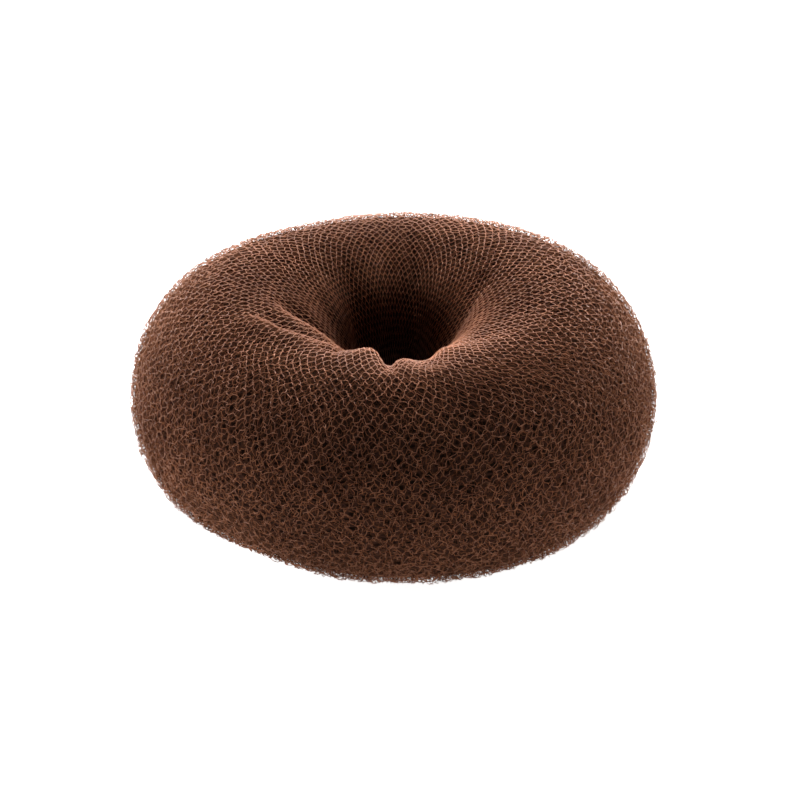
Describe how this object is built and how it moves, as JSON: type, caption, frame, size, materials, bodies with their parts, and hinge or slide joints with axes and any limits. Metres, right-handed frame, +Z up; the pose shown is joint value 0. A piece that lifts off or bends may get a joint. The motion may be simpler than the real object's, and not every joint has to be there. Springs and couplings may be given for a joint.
{
  "type": "hair donut bun maker",
  "caption": "Soft ring of rolled knitted net that hair is drawn through and wrapped round to shape a full bun.",
  "frame": {"origin": "middle of the ring, on the flat foot that it rests on", "axes": "+Z up along the axis of the hole, -Y towards the side seen in the picture"},
  "size_m": [0.0904, 0.09, 0.0381],
  "materials": {
    "brown_net": "knitted nylon net, dark brown, softly glossy threads"
  },
  "bodies": {
    "root": {"rolled_sleeve": "brown_net"}
  },
  "joints": []
}
